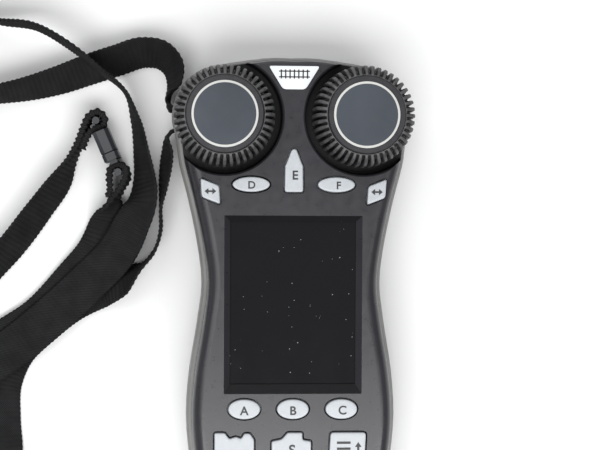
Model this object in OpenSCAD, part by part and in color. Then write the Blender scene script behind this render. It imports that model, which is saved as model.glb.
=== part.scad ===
// Hand-held throttle for model trains, lying on its back.
// X runs across the case, Y towards the two knobs, Z up out of the front face.
// The origin is under the middle of the case, on the surface that it lies on.

/* [Case] */
// Length of the case along Y
case_len = 172; // [170:1:176]
// Height of the front face above the back
face_z = 28; // [28:0.5:30]
// Height of the joint between the two shells
parting_z = 18; // [17.5:0.1:18]
// Thickness of the shell walls
wall = 2.2; // [2:0.1:2.2]
// Half the width of the case at its waist, beside the display
waist_half = 27.5; // [27:0.1:28]
// Half the width of the case across the keypad
grip_half = 32; // [31.5:0.1:33]
// Radius of the case round each knob
corner_r = 16.4; // [16.2:0.1:16.8]

/* [Knobs] */
// Distance of each knob from the middle of the case
knob_x = 20.7; // [20.7:0.1:21]
// Place of the knobs along the case
knob_y = 67.5; // [67:0.1:68]
// Outer radius of the ribbed grip
knob_r = 15.2; // [14.8:0.1:15.4]
// Radius of the hard core inside the grip
knob_core_r = 11.4; // [11:0.1:11.6]
// Height of a knob from its skirt to its top
knob_h = 15; // [14:0.5:16]
// Number of ribs round a grip
rib_count = 44; // [30:1:48]
// Radius of the well that each knob sits in
well_r = 17.3; // [17:0.1:17.4]
// Depth of the wells below the front face
well_depth = 5.5; // [5:0.1:5.6]
// Travel of a knob when it is pressed
knob_travel = 0.5; // [0.3:0.1:0.6]

/* [Display] */
// Width of the window at the front face
window_w = 41.2; // [40:0.1:41.4]
// Length of the window at the front face
window_len = 53.2; // [52:0.1:53.4]
// Place of the window's middle along the case
window_y = 11.3; // [11:0.1:11.5]

/* [Keys] */
// Height of the key tops above the front face
key_proud = 1.0; // [0.8:0.1:1.4]
// Gap between a key and the edge of its hole
key_gap = 0.3; // [0.25:0.05:0.35]
// Travel of a key
key_travel = 0.8; // [0.5:0.1:0.8]
// Width of the flange that keeps a key in the case
key_flange = 0.7; // [0.6:0.05:0.7]
// Distance between two rows of number keys
number_pitch = 9.7; // [9.6:0.1:9.7]
// Place of the first row of number keys
number_y = -42.4; // [-42.5:0.1:-42.3]

/* [Battery] */
// Diameter of a cell
cell_d = 14.2; // [14:0.1:14.4]
// Length of a cell with its tip
cell_len = 50.5; // [50:0.1:50.8]
// Half the width of the sliding door
door_half = 17.8; // [17.6:0.1:18]

/* [Strap] */
// Width of the woven neck strap
strap_w = 12.7; // [12:0.1:12.8]
// Thickness of the strap
strap_t = 1.2; // [1:0.1:1.3]
// Height of the breakaway clip, standing on its edge
clip_h = 12; // [11.6:0.1:12.4]

/* [Hidden] */
eps = 0.05;
far = 200;
case_top = case_len / 2;

// ---- heights inside the case
inner_z = face_z - wall;
well_z = face_z - well_depth;
well_wall = 0.8;
board_top = well_z - 2.2;
board_h = 1.6;
board_z = board_top - board_h;
lens_h = 1.2;
key_top = face_z + key_proud;
flange_top = inner_z - 0.2;
flange_z = flange_top - 1;
stem_z = flange_z - 0.9;
mat_h = 0.8;
pip_top = stem_z - key_travel - 0.2;

// ---- curves
function catmull(a, b, c, d, t) = 0.5 * (2 * b + (c - a) * t
    + (2 * a - 5 * b + 4 * c - d) * t * t + (3 * b - a - 3 * c + d) * t * t * t);
function spline(p, steps) = [for (i = [0 : len(p) - 2], k = [0 : steps - 1])
    catmull(p[max(i - 1, 0)], p[i], p[i + 1], p[min(i + 2, len(p) - 1)], k / steps)];
function mirrored(half) = [for (i = [len(half) - 1 : -1 : 1]) [-half[i][0], half[i][1]]];
function normal_at(p, i) = let (n = len(p), d = p[(i + 1) % n] - p[(i + n - 1) % n])
    [-d[1], d[0]] / norm(d);
function grow(p, by) = [for (i = [0 : len(p) - 1]) p[i] + by * normal_at(p, i)];
function at_z(p, z) = [for (q = p) [q[0], q[1], z]];
function moved(p, by) = [for (q = p) q + by];
function ellipse(w, h, power = 2, n = 28) = [for (i = [0 : n - 1]) let (a = -i * 360 / n,
    c = cos(a), s = sin(a)) [w / 2 * sign(c) * pow(abs(c), 2 / power),
    h / 2 * sign(s) * pow(abs(s), 2 / power)]];
// An outline given clockwise, with each corner turned into a curve that starts cut away from it.
function soften(p, cut, steps = 4) = [for (i = [0 : len(p) - 1], k = [0 : steps]) let (
    n = len(p), b = p[i], a = p[(i + n - 1) % n], c = p[(i + 1) % n],
    from = b + cut * (a - b) / norm(a - b), to = b + cut * (c - b) / norm(c - b),
    t = k / steps) from * pow(1 - t, 2) + 2 * b * t * (1 - t) + to * t * t];
function flipped(p) = [for (i = [len(p) - 1 : -1 : 0]) [-p[i][0], p[i][1]]];

// A solid through rings of equally many points, each clockwise from above, lowest first.
module loft(rings) {
    n = len(rings[0]);
    m = len(rings);
    sides = [for (k = [0 : m - 2], i = [0 : n - 1]) let (j = (i + 1) % n)
        each [[k * n + i, k * n + j, (k + 1) * n + j],
            [k * n + i, (k + 1) * n + j, (k + 1) * n + i]]];
    low = [[for (i = [n - 1 : -1 : 0]) i]];
    high = [[for (i = [0 : n - 1]) (m - 1) * n + i]];
    polyhedron([for (r = rings) each r], concat(low, sides, high), convexity = 6);
}

// ---- the case's outline, at its widest
corner_x = knob_x - 0.3;
half_points = concat(
    [[0, case_top], [8.5, case_top - 0.1]],
    [for (a = [78 : -20.6 : -26]) [corner_x, knob_y] + corner_r * [cos(a), sin(a)]],
    [[34.2, 53], [31.5, 42.5], [waist_half + 1.3, 29.5], [waist_half - 0.1, 17.5],
        [waist_half + 1.2, 5.6], [grip_half - 0.9, -9.5], [grip_half, -23],
        [grip_half - 1.1, -36], [grip_half - 3.2, -49], [grip_half - 5.4, -62],
        [grip_half - 7.8, -73], [19.3, -81.6], [10.5, -85.4], [0, -case_top]]);
half_outline = spline(half_points, 3);
outline = concat(half_outline, [[0, -case_top]], mirrored(half_outline));

// Height and inset of each ring of the two shells, outside and inside.
rear_rings = [[0, 9], [0.7, 6.6], [2.6, 4.0], [6, 1.7], [10.5, 0.4], [14.5, 0],
    [17, 0.3], [parting_z, 0.9]];
front_rings = [[parting_z, 1.7], [face_z - 4.6, 1.9], [face_z - 2.4, 2.4],
    [face_z - 1, 3.3], [face_z - 0.25, 4.5], [face_z, 5.7]];
rear_inside = [[wall, 7.6], [4.6, 4.9], [10.5, 2.7], [parting_z + eps, 2.5]];
front_inside = [[parting_z - eps, 3.8], [face_z - 5, 4.0], [inner_z, 5.6]];
module shell_solid(rings) {
    loft([for (r = rings) at_z(grow(outline, -r[1]), r[0])]);
}
// The front shell's edge is broad round the sides and tight across its head. The first ring's inset
// is the same all round; what passes it shrinks to head_share from head_y[0] to head_y[1].
head_share = 0.3;
head_y = [73, 83];
function edge_share(q) = let (t = min(1, max(0, (q[1] - head_y[0]) / (head_y[1] - head_y[0]))))
    1 - (1 - head_share) * t * t * (3 - 2 * t);
module front_solid(rings) {
    loft([for (r = rings) at_z([for (i = [0 : len(outline) - 1]) outline[i] - normal_at(outline, i)
        * (rings[0][1] + (r[1] - rings[0][1]) * edge_share(outline[i]))], r[0])]);
}
module at_knobs() {
    for (side = [-1, 1]) translate([side * knob_x, knob_y, 0]) children();
}
module at_points(points) {
    for (p = points) translate([p[0], p[1], 0]) children();
}

// ---- the keys: name, outline, place, and the outline of the flange under the face
arrow_outline = soften([[-3.05, 3.85], [2.65, 1.6], [3.05, -4.15], [-2.65, -1.95]], 0.9);
tip_foot = soften([[2.85, 0], [2.85, -6.5], [-2.85, -6.5], [-2.85, 0]], 0.9);
// The rounded sides of the tip, with the two lower corners of its foot between them.
tip_outline = concat(
    [for (t = [0 : 0.2 : 1]) [0.95 + 1.9 * t - 0.55 * t * t + 0.45 * t * t * t, 5.9 - 4.6 * t]],
    [for (i = [5 : 14]) tip_foot[i]],
    [for (t = [1 : -0.2 : 0]) [-0.95 - 1.9 * t + 0.55 * t * t - 0.45 * t * t * t, 5.9 - 4.6 * t]],
    [[-0.55, 6.35], [0, 6.5], [0.55, 6.35]]);
// The outline of a steam engine: cab, dome and chimney along the top edge.
engine_outline = soften([[-6, 4.7], [-2.7, 4.7], [-1.5, 2.9], [0.6, 3.6], [2, 2.9],
    [2.9, 4.5], [4.7, 4.5], [6, 2.6], [6, -4.7], [-6, -4.7]], 0.6, 3);
// The outline of a trackside box with a raised lid.
box_outline = soften([[-6, 2.1], [-2.9, 2.7], [-1.2, 4.7], [3.4, 4.7], [3.4, 2.5],
    [6, 2.1], [6, -4.7], [-6, -4.7]], 0.6, 3);
menu_outline = soften([[-5.2, 4.7], [5.7, 4.7], [5.2, -4.7], [-5.7, -4.7]], 1.2);
tip_flange = soften([[-1.5, 7.2], [1.5, 7.2], [3.55, 1.8], [3.55, -7.2], [-3.55, -7.2],
    [-3.55, 1.8]], 0.8);
icon_flange = soften([[-6.7, 5.4], [6.7, 5.4], [6.7, -5.4], [-6.7, -5.4]], 1);
soft_key_outline = ellipse(9.7, 6.1, 2.05);
small_key_outline = ellipse(11.3, 4.7);
number_outline = ellipse(10.4, 7.4, 3);
soft_key_y = -19.8;
icon_key_y = -31.4;
// A key with no inward corners, whose flange goes evenly round it.
function plain_key(name, shape, at) = [name, shape, at, grow(shape, key_flange)];
NUMBERS = [["key_1", "key_2", "key_3"], ["key_4", "key_5", "key_6"],
    ["key_7", "key_8", "key_9"], ["key_minus", "key_0", "key_plus"]];
number_keys = [for (row = [0 : 3], col = [-1 : 1]) plain_key(NUMBERS[row][col + 1], number_outline,
    [col * (13.6 - 0.45 * row), number_y - number_pitch * row])];
upper_keys = [plain_key("key_d", small_key_outline, [-12.7, 47.15]),
    ["key_e", tip_outline, [0, 51.3], tip_flange],
    plain_key("key_f", small_key_outline, [12.7, 47.15]),
    plain_key("key_direction_left", arrow_outline, [-24.8, 45.2]),
    plain_key("key_direction_right", flipped(arrow_outline), [24.8, 45.2])];
lower_keys = concat([plain_key("key_a", soft_key_outline, [-14.5, soft_key_y]),
    plain_key("key_b", soft_key_outline, [0, soft_key_y]),
    plain_key("key_c", soft_key_outline, [14.5, soft_key_y]),
    ["key_locomotive", engine_outline, [-17.4, icon_key_y], icon_flange],
    ["key_switch", box_outline, [-0.4, icon_key_y], icon_flange],
    ["key_menu", menu_outline, [16.4, icon_key_y], grow(menu_outline, key_flange)]], number_keys);
keys = concat(upper_keys, lower_keys);
stem_share = 0.82;
function placed(key) = moved(key[1], key[2]);

module key_cap(key) {
    stem = [for (q = key[1]) stem_share * q];
    color("whitesmoke") translate([key[2][0], key[2][1], 0]) {
        translate([0, 0, stem_z]) linear_extrude(flange_top - stem_z) polygon(stem);
        translate([0, 0, flange_z]) linear_extrude(flange_top - flange_z) polygon(key[3]);
        translate([0, 0, flange_z]) linear_extrude(key_top - flange_z) polygon(key[1]);
    }
}

// ---- front shell
window_bevel = [1.75, 1.7];
bevel_h = wall - 0.4;
badge_outline = soften([[-7.8, 82.5], [7.8, 82.5], [3.4, 75.4], [-3.4, 75.4]], 1.1);
badge_depth = 1.3;
case_screw_at = [[-7, 53.2], [7, 53.2], [-11, -78.9], [11, -78.9], [0, 72.5]];
board_screw_at = [[0, 41.4], [-24, -19.8], [24, -19.8]];
screw_r = 1.45;
screw_head_z = 3.6;
infrared_half = 6;
infrared_z = [parting_z + 1.2, face_z - 3.8];
socket_half = 6.8;
socket_z = [6.2, parting_z - 0.2];
bushing_r = 3.5;

module window_cut() {
    x0 = window_w / 2;
    y0 = window_len / 2;
    x1 = x0 - window_bevel[0];
    y1 = y0 - window_bevel[1];
    low = [[-x1, y1], [x1, y1], [x1, -y1 + 1], [-x1, -y1 + 1]];
    high = [[-x0, y0], [x0, y0], [x0, -y0], [-x0, -y0]];
    translate([0, window_y, 0]) {
        loft([at_z(low, inner_z - 1), at_z(low, face_z - bevel_h)]);
        loft([at_z(low, face_z - bevel_h - eps), at_z(high, face_z), at_z(high, face_z + 1)]);
    }
}
module front_shell() {
    color("#3a3a3e") difference() {
        union() {
            difference() {
                front_solid(front_rings);
                front_solid(front_inside);
            }
            intersection() {
                front_solid(front_rings);
                union() {
                    at_knobs() translate([0, 0, board_top + 0.2])
                        cylinder(r = well_r + well_wall, h = far, $fn = 96);
                    at_points(case_screw_at) translate([0, 0, parting_z])
                        cylinder(r = 2.4, h = far, $fn = 32);
                    at_points(board_screw_at) translate([0, 0, board_top])
                        cylinder(r = 2, h = far, $fn = 32);
                }
            }
        }
        at_knobs() {
            translate([0, 0, well_z]) cylinder(r = well_r, h = far, $fn = 96);
            cylinder(r = bushing_r + 0.2, h = far, $fn = 48);
        }
        at_points(case_screw_at) translate([0, 0, parting_z - 1])
            cylinder(r = screw_r + 0.05, h = 8, $fn = 24);
        at_points(board_screw_at) translate([0, 0, board_top - 1])
            cylinder(r = 1.05, h = 5, $fn = 24);
        for (key = keys) translate([0, 0, inner_z - 2])
            linear_extrude(6) polygon(grow(placed(key), key_gap));
        // pockets for the flanges of the two direction keys, which reach into the side walls
        for (key = [upper_keys[3], upper_keys[4]]) translate([0, 0, flange_z - 1.5])
            linear_extrude(inner_z - flange_z + 1.5) polygon(grow(placed(key), key_flange + 0.3));
        window_cut();
        translate([0, 0, face_z - badge_depth]) linear_extrude(4) polygon(badge_outline);
        translate([-infrared_half, 78, infrared_z[0]])
            cube([2 * infrared_half, 20, infrared_z[1] - infrared_z[0]]);
    }
}
module badge_plate() {
    color("whitesmoke") loft([
        at_z(grow(badge_outline, -0.06), face_z - badge_depth),
        at_z(grow(badge_outline, -0.06), face_z + 0.1),
        at_z(grow(badge_outline, -0.25), face_z + 0.25)]);
}
module infrared_window() {
    color("#1c0a0c") intersection() {
        front_solid(front_rings);
        difference() {
            translate([-infrared_half + 0.1, 78, infrared_z[0] + 0.1])
                cube([2 * infrared_half - 0.2, 20, infrared_z[1] - infrared_z[0] - 0.2]);
            translate([-far / 2, -far + case_top - 3.6, 0]) cube(far);
        }
    }
}

// ---- rear shell, battery door and strap anchor
door_y = -4;
floor_half = 21;
floor_z = 3.4;
bay_y = [-61.5, -5.5];
bay_len = bay_y[1] - bay_y[0];
bay_half = 15.6;
bay_wall = 1.4;
bay_top = board_z - 0.3;
// The post that the strap goes round, in a slot in the flank beside the left knob.
post = [-33.2, knob_y];
post_r = 1.5;
post_z = [3.4, 16.6];
slot_r = 5.5;
module rear_shell() {
    color("#45454a") difference() {
        union() {
            difference() {
                shell_solid(rear_rings);
                shell_solid(rear_inside);
            }
            intersection() {
                shell_solid(rear_rings);
                union() {
                    translate([-bay_half - bay_wall, bay_y[0] - bay_wall, 0])
                        cube([2 * (bay_half + bay_wall), bay_len + 2 * bay_wall, bay_top]);
                    translate([-floor_half, -far + bay_y[0], 0])
                        cube([2 * floor_half, far, floor_z + 0.4]);
                    translate([-floor_half, -far + door_y + 2, 0]) cube([2 * floor_half, far, floor_z]);
                    at_points(case_screw_at) cylinder(r = 4, h = parting_z - 0.2, $fn = 40);
                    at_points([post]) cylinder(r = slot_r + 0.8, h = parting_z - 0.2, $fn = 48);
                }
            }
        }
        translate([-bay_half, bay_y[0], -1]) cube([2 * bay_half, bay_len, bay_top + 1 - bay_wall]);
        translate([-door_half - 0.2, -far + door_y, -1]) cube([2 * door_half + 0.4, far, wall + 1]);
        translate([-door_half - 1.2, -far + door_y, 1]) cube([2 * door_half + 2.4, far, wall - 1]);
        at_points(case_screw_at) {
            translate([0, 0, -1]) cylinder(r = 2.6, h = screw_head_z + 3.2, $fn = 40);
            cylinder(r = screw_r + 0.15, h = far, $fn = 32);
        }
        translate([-socket_half - 0.2, -far - 70, socket_z[0] - 0.2])
            cube([2 * socket_half + 0.4, far, far]);
        at_points([post]) difference() {
            translate([0, 0, post_z[0]]) cylinder(r = slot_r, h = post_z[1] - post_z[0], $fn = 48);
            cylinder(r = post_r, h = far, $fn = 32);
        }
    }
}
grip_slot_y = [-24, -10];
module battery_door() {
    color("#45454a") difference() {
        union() {
            intersection() {
                shell_solid(rear_rings);
                translate([-door_half, -far + door_y - 0.2, 0]) cube([2 * door_half, far, wall - 0.2]);
            }
            translate([-door_half - 1, -72, 1.15])
                cube([2 * door_half + 2, 72 + door_y - 0.2, wall - 1.35]);
        }
        for (y = [grip_slot_y[0] : 2.8 : grip_slot_y[1]]) translate([-7, y, -1]) cube([14, 1.4, 1.7]);
    }
}

// ---- window and display
lens_size = [window_w - 0.8, window_len - 0.6];
frame_size = [window_w + 1.8, window_len + 1.4];
frame_wall = 0.5;
display_z = board_top + 0.4;
display_top = inner_z - lens_h - 0.2;
module slab(size, z0, z1, y = window_y) {
    translate([-size[0] / 2, y - size[1] / 2, z0]) cube([size[0], size[1], z1 - z0]);
}
module window_lens() {
    color([0.1, 0.1, 0.12, 0.5]) slab(lens_size, inner_z - lens_h, inner_z - eps);
}
module display_frame() {
    color("silver") difference() {
        slab(frame_size, display_z, display_top);
        slab(frame_size - 2 * [frame_wall, frame_wall], display_z + frame_wall, display_top + 1);
    }
}
module display_panel() {
    size = frame_size - 2 * [frame_wall + 0.1, frame_wall + 0.1];
    color("#101214") slab(size, display_z + frame_wall + 0.05, display_top - 0.1);
}

// ---- circuit board and what is on it
board_inset = 4.7;
board_end = -79;
module main_board() {
    color("#1f5c34") difference() {
        union() {
            translate([0, 0, board_z]) linear_extrude(board_h) intersection() {
                polygon(grow(outline, -board_inset));
                translate([-50, board_end]) square([100, 160]);
            }
            // chips and the power coil on the underside
            translate([-20, 24, board_z - 1.5]) cube([11, 11, 1.5]);
            translate([12, 42, board_z - 1.2]) cube([9, 7, 1.2]);
            translate([-17, 42, board_z - 2.6]) cube([6, 6, 2.6]);
            translate([6, -3.5, board_z - 1]) cube([5, 6, 1]);
        }
        at_knobs() cylinder(r = bushing_r + 0.5, h = far, $fn = 40);
        at_points(case_screw_at) cylinder(r = 3.2, h = far, $fn = 40);
        at_points(board_screw_at) cylinder(r = 1.3, h = far, $fn = 24);
    }
}
module radio_module() {
    color("gainsboro") {
        translate([-8, 4, board_z - 0.8]) cube([16, 24, 0.75]);
        translate([-7, 5, board_z - 2.6]) cube([14, 15, 1.8]);
    }
}
module infrared_emitters() {
    color("#3a2a55") for (x = [-2.7, 2.7]) translate([x, 0, board_top + 2]) {
        translate([0, 80.4, 0]) rotate([90, 0, 0]) cylinder(r = 1.5, h = 3.6, $fn = 32);
        translate([0, 80.4 - eps, 0]) rotate([-90, 0, 0]) cylinder(r1 = 1.4, r2 = 0.8, h = 1, $fn = 32);
        translate([-0.7, 76.2, -1.95]) cube([0.4, 1.2, 1.95]);
        translate([0.3, 76.2, -1.95]) cube([0.4, 1.2, 1.95]);
    }
}
function pips(list) = [for (key = list) key[2]];
module key_mat(shape, list) {
    color("#b9bcc0") {
        translate([0, 0, board_top + eps]) linear_extrude(mat_h) polygon(shape);
        at_points(pips(list)) translate([0, 0, board_top + mat_h])
            cylinder(r1 = 2.4, r2 = 1.3, h = pip_top - board_top - mat_h, $fn = 32);
    }
}
module upper_key_mat() {
    key_mat(soften([[-27.4, 48.6], [-4, 48.6], [-4, 57.5], [4, 57.5], [4, 48.6], [27.4, 48.6],
        [27, 43.8], [-27, 43.8]], 0.8), upper_keys);
}
module lower_key_mat() {
    key_mat(soften([[-21.8, -16.4], [21.8, -16.4], [21.8, -37], [19.3, -60], [17.2, -75.9],
        [-17.2, -75.9], [-19.3, -60], [-21.8, -37]], 1.5), lower_keys);
}

// ---- rotary encoders under the knobs
encoder_half = 6;
encoder_h = 6.5;
encoder_z = board_z - 0.1 - encoder_h;
plunger_z = encoder_z + 0.8 + knob_travel;
plunger_h = 0.8;
bushing_top = well_z + 4;
shaft_r = 3;
knob_z = well_z + 0.9;
knob_top = knob_z + knob_h;
module encoder(side) {
    color("gray") translate([side * knob_x, knob_y, 0]) difference() {
        union() {
            translate([-encoder_half, -encoder_half, encoder_z])
                cube([2 * encoder_half, 2 * encoder_half, encoder_h]);
            translate([0, 0, encoder_z + 1])
                cylinder(r = bushing_r, h = bushing_top - encoder_z - 1, $fn = 48);
        }
        translate([0, 0, encoder_z + 0.7]) cylinder(r = 4.5, h = 3.6, $fn = 48);
        translate([0, 0, encoder_z + 1]) cylinder(r = shaft_r + 0.05, h = far, $fn = 48);
    }
}
module encoder_shaft(side) {
    color("silver") translate([side * knob_x, knob_y, plunger_z + plunger_h + 0.02])
        cylinder(r = shaft_r, h = knob_top - 3 - plunger_z - plunger_h, $fn = 48);
}
module encoder_plunger(side) {
    color("ivory") translate([side * knob_x, knob_y, plunger_z])
        cylinder(r = 4.2, h = plunger_h, $fn = 48);
}
module encoder_nuts() {
    color("silver") at_knobs() translate([0, 0, well_z]) difference() {
        union() {
            cylinder(r = 5.8, h = 0.5, $fn = 48);
            translate([0, 0, 0.5]) cylinder(r = 5.4, h = 1.7, $fn = 6);
        }
        translate([0, 0, -1]) cylinder(r = bushing_r + 0.05, h = 5, $fn = 48);
    }
}

// ---- knobs
rib_depth = 1.3;
function rib_r(a) = let (phase = abs((a * rib_count / 360) % 1 - 0.5) * 2,
    rise = min(1, max(0, (phase - 0.22) / 0.34)))
    knob_r - rib_depth * (1 - rise * rise * (3 - 2 * rise));
module knob_grip(side) {
    color("#2b2b2c") translate([side * knob_x, knob_y, 0]) intersection() {
        translate([0, 0, knob_z]) linear_extrude(knob_h)
            polygon([for (i = [0 : rib_count * 8 - 1]) let (a = i * 45 / rib_count)
                rib_r(a) * [cos(a), sin(a)]]);
        rotate_extrude($fn = 120) polygon([[knob_core_r + 0.1, knob_z], [knob_r, knob_z],
            [knob_r - 0.5, knob_top - 3.6], [knob_r - 1, knob_top - 2.2], [knob_r - 2, knob_top - 1.2],
            [knob_core_r + 0.9, knob_top - 0.7], [knob_core_r + 0.1, knob_top - 0.7]]);
    }
}
cap_r = 9.9;
cap_h = 0.7;
module knob_core(side) {
    color("#333336") translate([side * knob_x, knob_y, 0]) rotate_extrude($fn = 96) polygon([
        [shaft_r + 0.02, knob_z + 3.9], [shaft_r + 0.02, knob_top - 2.9], [0, knob_top - 2.9],
        [0, knob_top - cap_h - 0.1], [cap_r + 0.05, knob_top - cap_h - 0.1],
        [cap_r + 0.05, knob_top - 0.2], [knob_core_r - 0.3, knob_top - 0.2],
        [knob_core_r, knob_top - 0.5], [knob_core_r, knob_z], [knob_core_r - 1.6, knob_z],
        [knob_core_r - 1.6, knob_top - 4.2], [5.6, knob_top - 4.2], [5.6, knob_z + 3.9]]);
}
module knob_cap(side) {
    color("#4a4d52") translate([side * knob_x, knob_y, knob_top - cap_h]) {
        cylinder(r = cap_r, h = cap_h - 0.1, $fn = 96);
        translate([0, 0, cap_h - 0.1]) cylinder(r1 = cap_r, r2 = cap_r - 0.1, h = 0.1, $fn = 96);
    }
}

// ---- cable socket in the heel
socket_y = [-85, -70];
mouth_half = 4.9;
mouth_z = [8.4, 15.6];
module socket_housing() {
    color("#202022") difference() {
        translate([-socket_half, socket_y[0], socket_z[0]])
            cube([2 * socket_half, socket_y[1] - socket_y[0], socket_z[1] - socket_z[0]]);
        translate([-mouth_half, socket_y[0] - 1, mouth_z[0]])
            cube([2 * mouth_half, 13, mouth_z[1] - mouth_z[0]]);
        translate([-1.6, socket_y[0] - 1, mouth_z[0] - 1.3]) cube([3.2, 13, 2]);
    }
}
contact_pitch = 1.02;
module socket_contacts() {
    color("gold") for (i = [-2.5 : 1 : 2.5]) translate([i * contact_pitch, 0, 0]) rotate([90, 0, 90])
        linear_extrude(0.4, center = true) polygon([[socket_y[0] + 11.9, mouth_z[1] - 0.1],
            [socket_y[0] + 11.9, mouth_z[1] - 0.5], [socket_y[0] + 4, mouth_z[1] - 2.1],
            [socket_y[0] + 3.7, mouth_z[1] - 1.8], [socket_y[0] + 10.6, mouth_z[1] - 0.1]]);
}

// ---- cells, springs and contacts
cell_x = cell_d / 2 + 0.4;
cell_z = wall + 0.3 + cell_d / 2;
plate_h = 0.4;
dimple = 0.8;
function cell_tip(side) = side < 0 ? bay_y[1] - plate_h - dimple : bay_y[0] + plate_h + dimple;
module battery_cells() {
    color("goldenrod") for (side = [-1, 1]) translate([side * cell_x, cell_tip(side), cell_z])
        rotate([side < 0 ? 90 : -90, 0, 0]) {
            cylinder(r = 2.6, h = 1.2, $fn = 40);
            translate([0, 0, 1]) cylinder(r = cell_d / 2, h = cell_len - 1, $fn = 64);
        }
}
module battery_contacts() {
    color("silver") for (side = [-1, 1]) {
        for (y = [bay_y[0] + eps, bay_y[1] - plate_h])
            translate([side * cell_x - 6, y, wall + 2]) cube([12, plate_h - eps, 11]);
        translate([side * cell_x, cell_tip(side), cell_z]) rotate([side < 0 ? -90 : 90, 0, 0])
            cylinder(r = 2, h = dimple + 0.1, $fn = 32);
    }
}
wire_r = 0.35;
spring_turns = 3;
spring_steps = 14;
function spring_point(k, height) = let (t = k / (spring_turns * spring_steps),
    a = k * 360 / spring_steps, r = 4.6 - 1.8 * t)
    [r * cos(a), r * sin(a), wire_r + t * (height - 2 * wire_r)];
// The wire's section stands across the coil: its own points go round the coil's tangent.
function wire_ring(k, height) = let (c = spring_point(k, height), a = k * 360 / spring_steps)
    [for (i = [0 : 5]) c + wire_r * (cos(i * 60) * [cos(a), sin(a), 0] + sin(i * 60) * [0, 0, 1])];
module coil_spring(height) {
    loft([for (k = [0 : spring_turns * spring_steps]) wire_ring(k, height)]);
}
module battery_springs() {
    height = bay_len - 2 * plate_h - dimple - cell_len - 0.1;
    color("silver") for (side = [-1, 1])
        translate([side * cell_x, side < 0 ? bay_y[0] + plate_h : bay_y[1] - plate_h, cell_z])
            rotate([side < 0 ? -90 : 90, 0, 0]) coil_spring(height);
}

// ---- screws
module screw(head_r, head_h, shank_r, length) {
    difference() {
        union() {
            cylinder(r = head_r, h = head_h, $fn = 40);
            translate([0, 0, head_h - eps]) cylinder(r = shank_r, h = length, $fn = 24);
        }
        for (turn = [0, 90]) rotate([0, 0, turn]) translate([-head_r * 0.6, -0.3, -1])
            cube([head_r * 1.2, 0.6, 1 + head_h * 0.5]);
    }
}
module case_screws() {
    color("dimgray") at_points(case_screw_at) translate([0, 0, screw_head_z])
        screw(2.4, 2, screw_r, face_z - 10.1);
}
module board_screws() {
    color("silver") at_points(board_screw_at) translate([0, 0, board_z - 1.4])
        screw(2, 1.4, 1, 4.8);
}

// ---- neck strap: two lengths of webbing, from the post to the two halves of a breakaway clip
// Each place on a route is x, y, lift of the lower edge, lean in degrees (90 is on edge) and width.
upper_route = [
    [-30.8, 67.5, 3.4, 90, 12.7], [-30.8, 68.1, 3.4, 90, 12.7], [-31.5, 69.5, 3.4, 90, 12.7],
    [-33, 70.3, 3.4, 90, 12.7], [-35, 70.7, 3.3, 90, 12.7], [-37.3, 71.5, 3, 90, 12.7],
    [-37.5, 73.9, 2, 94, 12.7], [-35.8, 78.6, 1, 110, 12.7], [-36.4, 83.9, 0.3, 122, 12.7],
    [-39.9, 87.4, 0, 130, 12.7], [-45.3, 88.2, 0, 133, 12.7], [-53.6, 85.7, 0, 134, 12.7],
    [-62.4, 82.7, 0, 133, 12.7], [-71.6, 79.3, 0, 128, 12.7], [-80.9, 76.6, 0, 120, 12.7],
    [-90.7, 74.7, 0, 112, 12.7], [-105.3, 72.7, 0, 106, 12.7], [-121, 72.6, 0, 98, 12.7],
    [-135.6, 77, 0, 93, 12.7], [-143.4, 85.9, 0, 90, 12.7], [-143.4, 96.7, 0, 90, 12.7],
    [-135.6, 104.5, 0, 90, 12.7], [-121, 105.5, 0, 90, 12.7], [-104.4, 100.6, 0, 86, 12.7],
    [-89.7, 96.7, 3.5, 90, 12.7], [-77.5, 94.5, 8, 87, 12.7], [-66.8, 88.4, 10.4, 85, 12.7],
    [-58.5, 81.9, 7.6, 86, 12.7], [-50.6, 74.9, 3.4, 88, 12.7], [-47.7, 66.7, 0.8, 76, 12.7],
    [-46.2, 57.8, 0, 67, 12.7], [-45.2, 48.5, 0.3, 55, 12.7], [-46.4, 40.2, 3.9, 38, 12.7],
    [-49.1, 34.6, 3.9, 24, 12.7], [-52.8, 27.4, 3.4, 14, 12.7], [-63.7, 15.7, 2.8, 5, 12.7],
    [-77.3, 3.2, 2.8, 0, 12.7], [-89.1, -6.1, 2.8, 0, 12.7], [-101.4, -14.4, 2.8, 8, 12.7],
    [-115.1, -20.3, 4, 26, 12.7], [-130.7, -20.3, 1.2, 68, 12.7], [-143.4, -12.4, 0, 90, 12.7],
    [-148.3, 0.3, 0, 90, 12.7], [-142.4, 11.2, 0, 90, 12.7], [-129.7, 14.1, 0, 80, 12.7],
    [-115.1, 12.1, 0, 45, 12.7], [-101.9, 14.1, 0, 42, 12.7], [-89.7, 23.9, 0, 51, 12.7],
    [-77.5, 39.2, 0, 55, 12.7], [-70.2, 49.5, 0.4, 64, 12], [-67.4, 55.2, 1.4, 80, 9],
    [-65.4, 59.7, 2, 86, 8], [-63.6, 64.5, 2, 86, 8], [-61.7, 68.2, 2, 85, 8],
    [-59.4, 69.2, 2, 85, 8], [-57.6, 67.6, 2, 85, 8], [-57.9, 65.4, 2, 85, 8],
    [-60, 64.4, 2, 85, 8], [-61.8, 63.4, 2, 86, 8], [-63.4, 60.8, 2, 86, 8], [-64.4, 58, 2, 88, 8]];
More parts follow.
